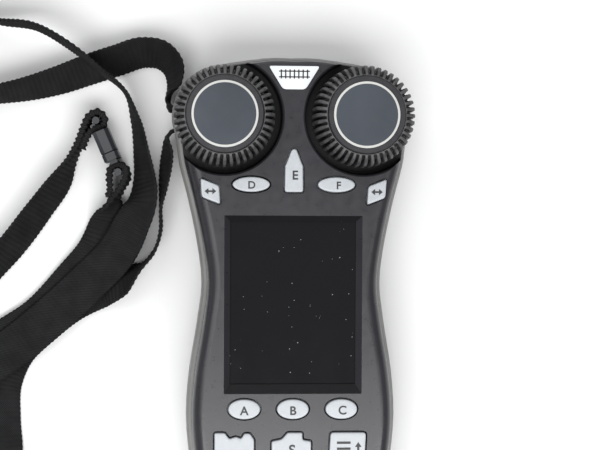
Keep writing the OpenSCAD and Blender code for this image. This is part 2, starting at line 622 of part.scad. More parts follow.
lower_route = [
    [-30.8, 67.5, 3.4, 90, 12.7], [-30.8, 66.9, 3.4, 90, 12.7], [-31.5, 65.5, 3.4, 90, 12.7],
    [-33, 64.7, 3.4, 90, 12.7], [-35, 64.3, 3.3, 90, 12.7], [-37.4, 62.7, 3, 88, 12.7],
    [-38, 56.9, 2.2, 74, 12.7], [-39.1, 48.5, 1, 76, 12.7], [-40.1, 39.7, 0, 88, 12.7],
    [-40.1, 32.8, 0, 90, 12.7], [-42.1, 26.4, 0, 88, 12.7], [-46.4, 21.4, 0, 83, 12.7],
    [-51.6, 17.6, 0, 45, 12.7], [-58.5, 14.9, 0, 12, 12.7], [-67.2, 10.8, 0, 3, 12.7],
    [-77, 3.3, 0, 0, 12.7], [-85.8, -5.6, 0, 0, 12.7], [-89.7, -15.4, 0, 0, 12.7],
    [-90, -26.2, 0, 0, 12.7], [-89.3, -38, 0, 4, 12.7], [-91.7, -50.8, 0, 30, 12.7],
    [-101.4, -59.6, 0, 65, 12.7], [-114.1, -59.6, 0, 85, 12.7], [-121.9, -50.8, 0, 80, 12.7],
    [-121.9, -38, 0, 36, 12.7], [-114.1, -24.2, 0, 5, 12.7], [-102.9, -11.9, 0.7, 2, 12.7],
    [-89.7, -2.1, 1.4, 0, 12.7], [-78, 5.7, 1.4, 0, 12.7], [-67.2, 17.4, 1.4, 0, 12.7],
    [-60, 26.5, 1.4, 4, 12.4], [-56.9, 35.1, 0.6, 8, 11], [-55.7, 38.9, 0.8, 35, 9.6],
    [-54.6, 41.9, 1.6, 72, 8.6], [-52.4, 45.9, 2, 86, 8], [-50.6, 49.5, 2, 85, 8],
    [-51, 52.3, 2, 90, 8], [-53.2, 53.4, 2, 90, 8], [-55.4, 52.2, 2, 90, 8], [-56, 49.1, 2, 88, 8],
    [-55.8, 45.9, 2, 86, 8], [-56.4, 43.1, 2, 88, 8]];
function place(p) = [p[0], p[1],
    p[2] + 0.1 + p[4] / 2 * abs(sin(p[3])) + strap_t / 2 * abs(cos(p[3]))];
function heading(route, i) = let (n = len(route) - 1,
    d = place(route[min(i + 1, n)]) - place(route[max(i - 1, 0)])) d / norm(d);
// The strap's section at one place: flat, with its edges rounded off.
function strap_ring(route, i) = let (p = route[i], d = heading(route, i),
    side = [-d[1], d[0], 0] / norm([d[0], d[1]]), up = cross(d, side),
    across = cos(p[3]) * side + sin(p[3]) * up, face = cross(d, across),
    w = p[4] / 2, t = strap_t / 2)
    [for (q = [[w, t / 2], [w, -t / 2], [w - t, -t], [t - w, -t], [-w, -t / 2], [-w, t / 2],
        [t - w, t], [w - t, t]]) place(p) + q[0] * across + q[1] * face];
module strap(route) {
    color("#17171a") loft([for (i = [0 : len(route) - 1]) strap_ring(route, i)]);
}
module strap_upper() {
    strap(upper_route);
}
module strap_lower() {
    strap(lower_route);
}

// The clip lies along the line between the bars that hold the two ends of the strap.
upper_bar = [-60, 66.8];
lower_bar = [-53.2, 51];
clip_z = 0.3;
clip_w = 5;
clip_turn = atan2(lower_bar[1] - upper_bar[1], lower_bar[0] - upper_bar[0]);
clip_span = norm(lower_bar - upper_bar);
arm_t = 1.4;
bar_r = 1.1;
bar_h = 9.2;
module along_clip() {
    translate([upper_bar[0], upper_bar[1], clip_z]) rotate([0, 0, clip_turn]) children();
}
// A block with its long edges bevelled, from x0 to x1 along the clip.
module clip_block(x0, x1, w, bevel = 1.2) {
    translate([x0, 0, 0]) rotate([90, 0, 90]) linear_extrude(x1 - x0) polygon([
        [-w / 2, bevel], [-w / 2 + bevel, 0], [w / 2 - bevel, 0], [w / 2, bevel],
        [w / 2, clip_h - bevel], [w / 2 - bevel, clip_h], [bevel - w / 2, clip_h],
        [-w / 2, clip_h - bevel]]);
}
// The bar that the webbing goes round, on an arm under the webbing.
module clip_loop(x_bar, x_body) {
    translate([x_bar, 0, 0]) cylinder(r = bar_r, h = bar_h, $fn = 32);
    translate([min(x_bar, x_body), -bar_r, 0]) cube([abs(x_bar - x_body), 2 * bar_r, arm_t]);
}
module clip_socket() {
    color("dimgray") along_clip() difference() {
        union() {
            clip_block(3.5, 10.6, clip_w);
            clip_loop(0, 4);
        }
        translate([6.2, -1.4, 2.6]) cube([10, 2.8, clip_h - 5.2]);
    }
}
module clip_plug() {
    color("dimgray") along_clip() {
        clip_block(10.9, 13.2, clip_w, 1);
        translate([13, -1.2, 1.6]) cube([1.4, 2.4, clip_h - 3.2]);
        translate([6.5, -1.1, 2.9]) cube([4.6, 2.2, clip_h - 5.8]);
        clip_loop(clip_span, 13);
    }
}

front_shell();
rear_shell();
battery_door();
badge_plate();
window_lens();
display_panel();
display_frame();
main_board();
radio_module();
upper_key_mat();
lower_key_mat();
for (key = keys) key_cap(key);
for (s = [["left", -1], ["right", 1]]) {
    knob_grip(s[1]);
    knob_core(s[1]);
    knob_cap(s[1]);
    encoder(s[1]);
    encoder_shaft(s[1]);
    encoder_plunger(s[1]);
}
encoder_nuts();
infrared_window();
infrared_emitters();
socket_housing();
socket_contacts();
battery_cells();
battery_springs();
battery_contacts();
case_screws();
board_screws();
strap_upper();
strap_lower();
clip_socket();
clip_plug();
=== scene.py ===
import math

import bmesh
import bpy
import numpy as np
from mathutils import Matrix, Vector


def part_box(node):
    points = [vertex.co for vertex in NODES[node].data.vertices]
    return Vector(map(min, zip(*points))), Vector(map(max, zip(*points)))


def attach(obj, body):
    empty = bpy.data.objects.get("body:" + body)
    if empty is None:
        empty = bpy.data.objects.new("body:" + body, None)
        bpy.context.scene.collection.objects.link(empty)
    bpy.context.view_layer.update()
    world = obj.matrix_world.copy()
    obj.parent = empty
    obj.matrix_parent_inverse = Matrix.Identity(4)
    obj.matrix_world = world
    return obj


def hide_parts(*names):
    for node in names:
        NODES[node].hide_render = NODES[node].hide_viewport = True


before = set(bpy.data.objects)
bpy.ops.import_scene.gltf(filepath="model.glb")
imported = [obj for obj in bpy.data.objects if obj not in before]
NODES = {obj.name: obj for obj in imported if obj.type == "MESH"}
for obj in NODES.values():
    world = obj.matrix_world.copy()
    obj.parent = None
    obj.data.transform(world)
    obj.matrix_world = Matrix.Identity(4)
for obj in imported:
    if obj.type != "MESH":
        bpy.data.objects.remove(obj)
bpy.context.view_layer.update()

MM = 0.001
SIDES = {"left": -1, "right": 1}


# ---------------------------------------------------------------- places, from the frame
def low(node):
    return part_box(node)[0] / MM


def high(node):
    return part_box(node)[1] / MM


def middle(node):
    return (low(node) + high(node)) / 2


FACE_Z = high("front_shell").z
PARTING_Z = low("front_shell").z
CASE_TOP = high("rear_shell").y
WELL_Z = low("encoder_nuts").z
KNOB = {side: middle(f"knob_{side}_cap") for side in SIDES}
KNOB_TOP = high("knob_left_core").z
KNOB_Z = low("knob_left_grip").z
KNOB_R = (high("knob_left_grip").x - low("knob_left_grip").x) / 2
CORE_R = (high("knob_left_core").x - low("knob_left_core").x) / 2
CAP_R = (high("knob_left_cap").x - low("knob_left_cap").x) / 2
KEY_TOP = high("key_e").z
# As in the CAD source, in millimetres: what the boxes of the nodes do not give.
CASE_LEN = 172
FLANGE_TOP = FACE_Z - 2.4
INNER_Z = FACE_Z - 2.2
WELL_R = 17.3
WELL_WALL = 0.8
LENS_PLAY = (0.4, 0.3)
KEYS = sorted(n for n in NODES if n.startswith("key_"))


# ---------------------------------------------------------------- curves, in millimetres
def catmull(a, b, c, d, t):
    return 0.5 * (2 * b + (c - a) * t + (2 * a - 5 * b + 4 * c - d) * t * t
                  + (3 * b - a - 3 * c + d) * t**3)


def spline(points, steps):
    """An open curve through the points, without the last one."""
    p = [np.array(q, float) for q in points]
    n = len(p) - 1
    return [catmull(p[max(i - 1, 0)], p[i], p[i + 1], p[min(i + 2, n)], k / steps)
            for i in range(n) for k in range(steps)]


def grow(outline, by):
    """A clockwise outline moved out by a distance."""
    d = np.roll(outline, -1, axis=0) - np.roll(outline, 1, axis=0)
    normal = np.stack([-d[:, 1], d[:, 0]], axis=1) / np.linalg.norm(d, axis=1)[:, None]
    return outline + by * normal


def case_outline(steps):
    """The widest outline of the case, clockwise from the top."""
    waist, grip = 27.5, 32.0
    corner = np.array([KNOB["right"].x - 0.3, KNOB["right"].y])
    corner_r = 16.4
    arc = [corner + corner_r * np.array([math.cos(a), math.sin(a)])
           for a in np.radians(np.arange(78, -26.1, -20.6))]
    half = [(0, CASE_TOP), (8.5, CASE_TOP - 0.1), *arc, (34.2, 53), (31.5, 42.5), (waist + 1.3, 29.5),
            (waist - 0.1, 17.5), (waist + 1.2, 5.6), (grip - 0.9, -9.5), (grip, -23), (grip - 1.1, -36),
            (grip - 3.2, -49), (grip - 5.4, -62), (grip - 7.8, -73), (19.3, -81.6), (10.5, -85.4),
            (0, CASE_TOP - CASE_LEN)]
    right = spline(half, steps)
    left = [q * np.array([-1, 1]) for q in right[:0:-1]]
    return np.array(right + [np.array(half[-1], float)] + left)


def edge_ring(outline, inset, base):
    """The case's outline moved in. What passes the base shrinks across the head, where the edge is tight."""
    head_share, head_y = 0.3, (73, 83)
    t = np.clip((outline[:, 1] - head_y[0]) / (head_y[1] - head_y[0]), 0, 1)
    share = 1 - (1 - head_share) * t * t * (3 - 2 * t)
    return grow(outline, -(base + (inset - base) * share)[:, None])


def flat_outline(node, z):
    """The outline of a node's flat face at a height, clockwise from above: the one with the most points."""
    mesh = NODES[node].data
    places = [tuple(round(c / MM, 3) for c in vert.co) for vert in mesh.vertices]
    sides = set()
    for face in mesh.polygons:
        if all(abs(places[v][2] - z) < 0.01 for v in face.vertices):
            corners = [places[v][:2] for v in face.vertices]
            for side in zip(corners, corners[1:] + corners[:1]):
                if side[::-1] in sides:
                    sides.remove(side[::-1])
                else:
                    sides.add(side)
    following = dict(sides)
    loops = []
    while following:
        loop = list(following.popitem())
        while loop[-1] in following:
            loop.append(following.pop(loop[-1]))
        loops.append(loop[:-1])
    best = np.array(max(loops, key=len))
    ahead = np.roll(best, -1, axis=0)
    turning = (best[:, 0] * ahead[:, 1] - ahead[:, 0] * best[:, 1]).sum()
    return best[::-1] if turning > 0 else best


def key_outline(node):
    return flat_outline(node, KEY_TOP)


def badge_outline():
    return flat_outline("badge_plate", low("badge_plate").z)


# ---------------------------------------------------------------- meshes
def make_object(name, verts, faces):
    mesh = bpy.data.meshes.new(name)
    mesh.from_pydata([tuple(np.asarray(v, float) * MM) for v in verts], [], faces)
    mesh.validate()
    piece = bpy.data.objects.new(name, mesh)
    bpy.context.scene.collection.objects.link(piece)
    return piece


def loft(name, rings, capped=True):
    """A closed solid through rings of equally many points, each clockwise from above, lowest first."""
    n = len(rings[0])
    verts = [v for ring in rings for v in ring]
    faces = [(k * n + i, (k + 1) * n + i, (k + 1) * n + (i + 1) % n, k * n + (i + 1) % n)
             for k in range(len(rings) - 1) for i in range(n)]
    if capped:
        last = (len(rings) - 1) * n
        faces += [tuple(range(n)), tuple(last + i for i in range(n - 1, -1, -1))]
    return make_object(name, verts, faces)


def at_z(outline, z):
    return [(q[0], q[1], z) for q in outline]


def stack(name, outline, levels):
    """A solid whose levels are (height, growth of the outline)."""
    return loft(name, [at_z(grow(outline, g), z) for z, g in levels])


def tiled(rings):
    """Rings with their ends filled by smaller ones, so that a hole cut in an end stays within small faces."""
    shares = np.linspace(0.04, 0.97, 16)
    below, above = ([[(x * share, y * share, z) for x, y, z in ring] for share in shares]
                    for ring in (rings[0], rings[-1]))
    return below + rings + above[::-1]


def lathe(name, profile, centre=(0, 0), turns=96):
    """A solid of revolution round a vertical line. The profile is (radius, height), lowest first."""
    rings = []
    for r, z in profile:
        rings.append([(centre[0] + r * math.cos(-a), centre[1] + r * math.sin(-a), z)
                      for a in np.linspace(0, 2 * math.pi, turns, endpoint=False)])
    return loft(name, rings)


def block(name, lo, hi):
    return loft(name, [[(lo[0], lo[1], z), (lo[0], hi[1], z), (hi[0], hi[1], z), (hi[0], lo[1], z)]
                       for z in (lo[2], hi[2])])


def combine(piece, others, operation):
    """Adds, cuts or intersects the others, and removes them."""
    for other in others:
        mod = piece.modifiers.new("combine", "BOOLEAN")
        mod.operation, mod.object, mod.solver = operation, other, "MANIFOLD"
        depsgraph = bpy.context.evaluated_depsgraph_get()
        made = bpy.data.meshes.new_from_object(piece.evaluated_get(depsgraph))
        piece.modifiers.clear()
        piece.data = made
        bpy.data.objects.remove(other)
    return piece


def join(name, pieces):
    """One object from several."""
    bm = bmesh.new()
    for piece in pieces:
        bm.from_mesh(piece.data)
        bpy.data.objects.remove(piece)
    mesh = bpy.data.meshes.new(name)
    bm.to_mesh(mesh)
    bm.free()
    made = bpy.data.objects.new(name, mesh)
    bpy.context.scene.collection.objects.link(made)
    return made


def smooth(piece, angle=34, bevel=0.0):
    """Rounds the shading where faces meet at less than the angle, and bevels the other edges by a width."""
    piece.data.shade_smooth()
    piece.data.set_sharp_from_angle(angle=math.radians(angle))
    if bevel:
        mod = piece.modifiers.new("edges", "BEVEL")
        mod.width, mod.segments, mod.limit_method = bevel * MM, 2, "ANGLE"
        mod.angle_limit = math.radians(angle)
        mod.use_clamp_overlap = True
    mod = piece.modifiers.new("normals", "WEIGHTED_NORMAL")
    mod.keep_sharp = not bevel
    return piece


def paint(piece, material):
    piece.data.materials.clear()
    piece.data.materials.append(material)
    return piece


def finish_piece(piece, body, material, replaces=(), angle=34):
    smooth(piece, angle)
    paint(piece, material)
    if replaces:
        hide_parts(*replaces)
    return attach(piece, body)


# ---------------------------------------------------------------- materials
def shader(name, **values):
    """A material and its main shader, with constants set on the shader's own sockets."""
    material = bpy.data.materials.new(name)
    material.use_nodes = True
    principled = material.node_tree.nodes["Principled BSDF"]
    for socket, value in values.items():
        principled.inputs[socket.replace("_", " ")].default_value = value
    return material, principled


def add(material, kind, inputs=None, **settings):
    node = material.node_tree.nodes.new(kind)
    for key, value in settings.items():
        setattr(node, key, value)
    for key, value in (inputs or {}).items():
        if hasattr(value, "node"):
            material.node_tree.links.new(value, node.inputs[key])
        else:
            node.inputs[key].default_value = value
    return node


def noise(material, scale, detail=3, roughness=0.5, stretch=(1, 1, 1)):
    """Noise over the object, with scale counted per millimetre."""
    place = add(material, "ShaderNodeTexCoord").outputs["Object"]
    mapping = add(material, "ShaderNodeMapping", {"Vector": place, "Scale": [s / MM for s in stretch]})
    texture = add(material, "ShaderNodeTexNoise", {"Vector": mapping.outputs[0], "Scale": scale,
                                                   "Detail": detail, "Roughness": roughness})
    return texture.outputs["Fac"]


def ramp(material, value, stops):
    node = add(material, "ShaderNodeValToRGB", {"Fac": value})
    elements = node.color_ramp.elements
    while len(elements) < len(stops):
        elements.new(0.5)
    for element, (position, colour) in zip(elements, stops):
        element.position = position
        element.color = (*colour, 1)
    return node.outputs["Color"]


def grey(value):
    return (value, value, value)


def link(material, output, socket):
    material.node_tree.links.new(output, socket)


def bump(material, principled, height, strength, distance=0.1):
    node = add(material, "ShaderNodeBump",
               {"Height": height, "Strength": strength, "Distance": distance * MM})
    link(material, node.outputs[0], principled.inputs["Normal"])


def moulded(name, colour, roughness, grain=0.35, grain_size=0.35, spread=0.12, **values):
    """Moulded plastic: a fine spark-eroded grain, and a colour and polish that wander a little."""
    material, principled = shader(name, **values)
    wide = noise(material, 0.06, 4)
    darker = [c * (1 - spread) for c in colour]
    lighter = [c * (1 + spread) for c in colour]
    link(material, ramp(material, wide, [(0.3, darker), (0.7, lighter)]), principled.inputs["Base Color"])
    rough = ramp(material, noise(material, 0.4, 5),
                 [(0.3, grey(roughness * 0.88)), (0.7, grey(roughness * 1.1))])
    link(material, rough, principled.inputs["Roughness"])
    if grain:
        bump(material, principled, noise(material, 1 / grain_size, 2), grain, 0.03)
    return material


def face_plastic():
    """The front's plastic, which gleams on its flat face and hardly at all round its edge."""
    material = moulded("face_plastic", (0.022, 0.0215, 0.025), 0.30, grain=0.08)
    normal = add(material, "ShaderNodeNewGeometry").outputs["Normal"]
    upright = add(material, "ShaderNodeSeparateXYZ", {"Vector": normal}).outputs["Z"]
    gleam = ramp(material, upright, [(0.2, grey(0.25)), (0.8, grey(0.5))])
    link(material, gleam, material.node_tree.nodes["Principled BSDF"].inputs["Specular IOR Level"])
    return material


def metal(name, colour, roughness, stretch=(1, 1, 0.05)):
    """Drawn or stamped metal with fine lines along one direction."""
    material, principled = shader(name, Metallic=1.0)
    lines = noise(material, 4, 3, stretch=stretch)
    dark = [c * 0.86 for c in colour]
    link(material, ramp(material, lines, [(0.3, dark), (0.7, colour)]), principled.inputs["Base Color"])
    rough = ramp(material, lines, [(0.3, grey(roughness * 1.3)), (0.7, grey(roughness * 0.8))])
    link(material, rough, principled.inputs["Roughness"])
    bump(material, principled, lines, 0.15, 0.02)
    return material


def window_glass():
    """Smoked window over a dark display, with specks of dust on it."""
    material, principled = shader("smoked_window", Roughness=0.09, IOR=1.21)
    place = add(material, "ShaderNodeTexCoord").outputs["Object"]
    mapping = add(material, "ShaderNodeMapping", {"Vector": place, "Scale": [1 / MM] * 3})
    cells = add(material, "ShaderNodeTexVoronoi", {"Vector": mapping.outputs[0], "Scale": 0.55})
    sized = add(material, "ShaderNodeMath", {0: cells.outputs["Color"], 1: 0.085}, operation="MULTIPLY")
    speck = add(material, "ShaderNodeMath", {0: cells.outputs["Distance"], 1: sized.outputs[0]},
                operation="LESS_THAN")
    colour = ramp(material, speck.outputs[0], [(0.0, (0.010, 0.010, 0.011)), (1.0, (0.34, 0.34, 0.35))])
    link(material, colour, principled.inputs["Base Color"])
    rough = ramp(material, noise(material, 0.09, 4), [(0.35, grey(0.07)), (0.7, grey(0.14))])
    link(material, rough, principled.inputs["Roughness"])
    return material


def woven(name, colour):
    """Ribbed webbing: the mesh carries the ribs, and this the yarns, from the piece's own lengthwise map."""
    material, principled = shader(name, Roughness=0.82)
    principled.inputs["Specular IOR Level"].default_value = 0.12
    place = add(material, "ShaderNodeUVMap", uv_map="weave").outputs[0]
    yarns = add(material, "ShaderNodeTexWave", {"Vector": place, "Scale": 0.9, "Distortion": 0.6,
                                                "Detail": 2.0, "Detail Scale": 2.0},
                wave_type="BANDS", bands_direction="DIAGONAL")
    wide = noise(material, 0.2, 4)
    mixed = add(material, "ShaderNodeMath", {0: yarns.outputs["Fac"], 1: wide}, operation="MULTIPLY")
    dark = [c * 0.55 for c in colour]
    light = [c * 1.9 for c in colour]
    link(material, ramp(material, mixed.outputs[0], [(0.1, dark), (0.6, light)]),
         principled.inputs["Base Color"])
    bump(material, principled, yarns.outputs["Fac"], 0.5, 0.08)
    return material


def rubber(name, colour):
    """Ribbed grip rubber, with painted shade darkening its grooves, and its ribs paler where fingers have
    polished them.
    """
    material, principled = shader(name, Roughness=0.5)
    worn = noise(material, 0.5, 6)
    height = add(material, "ShaderNodeAttribute", attribute_name="groove_shade_and_wear").outputs["Fac"]
    # Painted shade in the grooves, where the mask is 0, and paler wear on the lands, where it is 1.
    polish = add(material, "ShaderNodeMath", {0: height, 1: worn}, operation="MULTIPLY").outputs[0]
    groove = [c * 0.2 for c in colour]
    light = [c * 2.2 for c in colour]
    link(material, ramp(material, polish, [(0.05, groove), (0.35, colour), (0.65, light)]),
         principled.inputs["Base Color"])
    rough = ramp(material, worn, [(0.3, grey(0.42)), (0.7, grey(0.62))])
    link(material, rough, principled.inputs["Roughness"])
    bump(material, principled, noise(material, 3, 3), 0.3, 0.03)
    return material


def key_plastic():
    """Pale, slightly clear plastic with a satin top and a little grime."""
    material, principled = shader("key_plastic", Roughness=0.34, IOR=1.49)
    principled.inputs["Subsurface Weight"].default_value = 0.25
    principled.inputs["Subsurface Radius"].default_value = (0.9 * MM, 1.0 * MM, 1.2 * MM)
    grime = noise(material, 0.35, 5, 0.6)
    link(material, ramp(material, grime, [(0.25, (0.37, 0.39, 0.41)), (0.6, (0.40, 0.42, 0.44))]),
         principled.inputs["Base Color"])
    rough = ramp(material, noise(material, 0.8, 3), [(0.3, grey(0.28)), (0.7, grey(0.42))])
    link(material, rough, principled.inputs["Roughness"])
    bump(material, principled, noise(material, 2.5, 2), 0.12, 0.02)
    return material


def board():
    """Solder mask with the paler lines of the tracks under it."""
    material, principled = shader("solder_mask", Roughness=0.35)
    place = add(material, "ShaderNodeTexCoord").outputs["Object"]
    mapping = add(material, "ShaderNodeMapping", {"Vector": place, "Scale": [1 / MM] * 3})
    bricks = add(material, "ShaderNodeTexBrick", {"Vector": mapping.outputs[0], "Scale": 0.35,
                                                  "Color1": (0.010, 0.085, 0.035, 1),
                                                  "Color2": (0.014, 0.11, 0.045, 1),
                                                  "Mortar": (0.05, 0.22, 0.09, 1), "Mortar Size": 0.03})
    link(material, bricks.outputs["Color"], principled.inputs["Base Color"])
    bump(material, principled, bricks.outputs["Fac"], 0.2, 0.03)
    return material


FACE = face_plastic()
# Painted shade: a near-black copy of the face plastic for the wells round the knobs and the window's top and
# bottom bevels, which lie in shade.
SHADED = moulded("painted_shade_plastic", (0.006, 0.006, 0.007), 0.55, grain=0.4, Specular_IOR_Level=0.2)
BACK = moulded("back_plastic", (0.17, 0.17, 0.165), 0.46, grain=0.5)
BADGE = moulded("badge_plastic", (0.60, 0.62, 0.64), 0.35, grain=0.1, spread=0.04)
INK = moulded("legend_ink", (0.012, 0.012, 0.013), 0.5, grain=0.2)
RING = moulded("printed_ring", (0.44, 0.44, 0.42), 0.38, grain=0.15, spread=0.05)
CORE = moulded("knob_plastic", (0.013, 0.013, 0.015), 0.42, grain=0.4)
CAP = moulded("cap_plastic", (0.050, 0.057, 0.068), 0.22, grain=0.08)
CLIP = moulded("clip_plastic", (0.020, 0.022, 0.025), 0.40, grain=0.3)
SOCKET = moulded("socket_plastic", (0.02, 0.02, 0.02), 0.45)
INFRARED = moulded("infrared_plastic", (0.018, 0.003, 0.004), 0.08, grain=0)
LED = moulded("emitter_epoxy", (0.10, 0.07, 0.22), 0.10, grain=0)
PLUNGER = moulded("plunger_plastic", (0.60, 0.56, 0.46), 0.4)
MAT = moulded("key_silicone", (0.42, 0.43, 0.45), 0.6)
CELL = moulded("cell_sleeve", (0.42, 0.28, 0.05), 0.3, grain=0.1)
DISPLAY = moulded("display_glass", (0.008, 0.008, 0.009), 0.06, grain=0)
KEY = key_plastic()
KNOB_RUBBER = rubber("knob_rubber", (0.032, 0.032, 0.033))
WEBBING = woven("webbing", (0.0100, 0.0100, 0.0106))
LENS = window_glass()
BOARD = board()
STEEL = metal("bright_steel", (0.60, 0.60, 0.58), 0.28)
DIE_CAST = metal("die_cast", (0.48, 0.48, 0.49), 0.45, stretch=(1, 1, 1))
GOLD = metal("gold_plate", (0.80, 0.60, 0.22), 0.22)
BLACK_STEEL = metal("black_steel", (0.05, 0.05, 0.05), 0.4)


# ---------------------------------------------------------------- camera, light and floor
def aim(thing, place, target, roll=0.0):
    """Points a camera or light at a target, with +Y at the top of its picture, or turned by roll."""
    back = (Vector(place) - Vector(target)).normalized()
    right = Vector((math.sin(roll), math.cos(roll), 0)).cross(back).normalized()
    turn = Matrix((right, back.cross(right), back)).transposed()
    thing.matrix_world = Matrix.Translation(Vector(place) * MM) @ turn.to_4x4()


def camera(place, target, lens, roll):
    data = bpy.data.cameras.new("camera")
    data.lens, data.sensor_width = lens, 36
    data.clip_start, data.clip_end = 0.01, 20
    made = bpy.data.objects.new("camera", data)
    bpy.context.scene.collection.objects.link(made)
    aim(made, place, target, roll)
    bpy.context.scene.camera = made


def softbox(name, place, target, size, power):
    data = bpy.data.lights.new(name, "AREA")
    data.shape, data.size, data.size_y = "RECTANGLE", size[0] * MM, size[1] * MM
    data.energy = power
    made = bpy.data.objects.new(name, data)
    bpy.context.scene.collection.objects.link(made)
    aim(made, place, target)


def studio():
    scene = bpy.context.scene
    scene.view_settings.view_transform = "Standard"
    camera((-26.8, 41.6, 460), (1.89, 35.13, 28), 87.2, -0.005)
    world = bpy.data.worlds.new("studio")
    scene.world = world
    world.use_nodes = True
    world.node_tree.nodes["Background"].inputs["Color"].default_value = (0.93, 0.95, 1.0, 1)
    world.node_tree.nodes["Background"].inputs["Strength"].default_value = 0.2
    softbox("key_light", (-500, 300, 900), (0, 20, 0), (800, 800), 5)
    softbox("low_light", (40, -430, 900), (0, -60, 0), (1100, 520), 14)
    softbox("fill_light", (-150, 850, 620), (0, 40, 0), (1300, 600), 4)
    floor = loft("floor", [at_z([(-3000, -3000), (-3000, 3000), (3000, 3000), (3000, -3000)], z)
                           for z in (-20, 0)])
    material, principled = shader("table_top", Roughness=0.6)
    link(material, ramp(material, noise(material, 0.01, 3), [(0.3, grey(0.68)), (0.7, grey(0.70))]),
         principled.inputs["Base Color"])
    paint(floor, material)


studio()

# ---------------------------------------------------------------- neck strap
# x, y, lift of the lower edge, lean in degrees and width, as in the CAD source, in millimetres.
UPPER_ROUTE = [
    [-30.8, 67.5, 3.4, 90, 12.7], [-30.8, 68.1, 3.4, 90, 12.7], [-31.5, 69.5, 3.4, 90, 12.7],
    [-33, 70.3, 3.4, 90, 12.7], [-35, 70.7, 3.3, 90, 12.7], [-37.3, 71.5, 3, 90, 12.7],
    [-37.5, 73.9, 2, 94, 12.7], [-35.8, 78.6, 1, 110, 12.7], [-36.4, 83.9, 0.3, 122, 12.7],
    [-39.9, 87.4, 0, 130, 12.7], [-45.3, 88.2, 0, 133, 12.7], [-53.6, 85.7, 0, 134, 12.7],
    [-62.4, 82.7, 0, 133, 12.7], [-71.6, 79.3, 0, 128, 12.7], [-80.9, 76.6, 0, 120, 12.7],
    [-90.7, 74.7, 0, 112, 12.7], [-105.3, 72.7, 0, 106, 12.7], [-121, 72.6, 0, 98, 12.7],
    [-135.6, 77, 0, 93, 12.7], [-143.4, 85.9, 0, 90, 12.7], [-143.4, 96.7, 0, 90, 12.7],
    [-135.6, 104.5, 0, 90, 12.7], [-121, 105.5, 0, 90, 12.7], [-104.4, 100.6, 0, 86, 12.7],
    [-89.7, 96.7, 3.5, 90, 12.7], [-77.5, 94.5, 8, 87, 12.7], [-66.8, 88.4, 10.4, 85, 12.7],
    [-58.5, 81.9, 7.6, 86, 12.7], [-50.6, 74.9, 3.4, 88, 12.7], [-47.7, 66.7, 0.8, 76, 12.7],
    [-46.2, 57.8, 0, 67, 12.7], [-45.2, 48.5, 0.3, 55, 12.7], [-46.4, 40.2, 3.9, 38, 12.7],
    [-49.1, 34.6, 3.9, 24, 12.7], [-52.8, 27.4, 3.4, 14, 12.7], [-63.7, 15.7, 2.8, 5, 12.7],
    [-77.3, 3.2, 2.8, 0, 12.7], [-89.1, -6.1, 2.8, 0, 12.7], [-101.4, -14.4, 2.8, 8, 12.7],
    [-115.1, -20.3, 4, 26, 12.7], [-130.7, -20.3, 1.2, 68, 12.7], [-143.4, -12.4, 0, 90, 12.7],
    [-148.3, 0.3, 0, 90, 12.7], [-142.4, 11.2, 0, 90, 12.7], [-129.7, 14.1, 0, 80, 12.7],
    [-115.1, 12.1, 0, 45, 12.7], [-101.9, 14.1, 0, 42, 12.7], [-89.7, 23.9, 0, 51, 12.7],
    [-77.5, 39.2, 0, 55, 12.7], [-70.2, 49.5, 0.4, 64, 12], [-67.4, 55.2, 1.4, 80, 9],
    [-65.4, 59.7, 2, 86, 8], [-63.6, 64.5, 2, 86, 8], [-61.7, 68.2, 2, 85, 8],
    [-59.4, 69.2, 2, 85, 8], [-57.6, 67.6, 2, 85, 8], [-57.9, 65.4, 2, 85, 8],
    [-60, 64.4, 2, 85, 8], [-61.8, 63.4, 2, 86, 8], [-63.4, 60.8, 2, 86, 8], [-64.4, 58, 2, 88, 8]]
LOWER_ROUTE = [
    [-30.8, 67.5, 3.4, 90, 12.7], [-30.8, 66.9, 3.4, 90, 12.7], [-31.5, 65.5, 3.4, 90, 12.7],
    [-33, 64.7, 3.4, 90, 12.7], [-35, 64.3, 3.3, 90, 12.7], [-37.4, 62.7, 3, 88, 12.7],
    [-38, 56.9, 2.2, 74, 12.7], [-39.1, 48.5, 1, 76, 12.7], [-40.1, 39.7, 0, 88, 12.7],
    [-40.1, 32.8, 0, 90, 12.7], [-42.1, 26.4, 0, 88, 12.7], [-46.4, 21.4, 0, 83, 12.7],
    [-51.6, 17.6, 0, 45, 12.7], [-58.5, 14.9, 0, 12, 12.7], [-67.2, 10.8, 0, 3, 12.7],
    [-77, 3.3, 0, 0, 12.7], [-85.8, -5.6, 0, 0, 12.7], [-89.7, -15.4, 0, 0, 12.7],
    [-90, -26.2, 0, 0, 12.7], [-89.3, -38, 0, 4, 12.7], [-91.7, -50.8, 0, 30, 12.7],
    [-101.4, -59.6, 0, 65, 12.7], [-114.1, -59.6, 0, 85, 12.7], [-121.9, -50.8, 0, 80, 12.7],
    [-121.9, -38, 0, 36, 12.7], [-114.1, -24.2, 0, 5, 12.7], [-102.9, -11.9, 0.7, 2, 12.7],
    [-89.7, -2.1, 1.4, 0, 12.7], [-78, 5.7, 1.4, 0, 12.7], [-67.2, 17.4, 1.4, 0, 12.7],
    [-60, 26.5, 1.4, 4, 12.4], [-56.9, 35.1, 0.6, 8, 11], [-55.7, 38.9, 0.8, 35, 9.6],
    [-54.6, 41.9, 1.6, 72, 8.6], [-52.4, 45.9, 2, 86, 8], [-50.6, 49.5, 2, 85, 8],
    [-51, 52.3, 2, 90, 8], [-53.2, 53.4, 2, 90, 8], [-55.4, 52.2, 2, 90, 8], [-56, 49.1, 2, 88, 8],
    [-55.8, 45.9, 2, 86, 8], [-56.4, 43.1, 2, 88, 8]]
STRAP_T = 1.2
WEBBING_W = 12.7
RIB_PITCH = 1.5
# How far the edge swings in and out, the share of the half width that is flat, and the yarns' scale.
SCALLOP, FLAT_SHARE, YARN_SCALE = 0.07, 0.86, 6


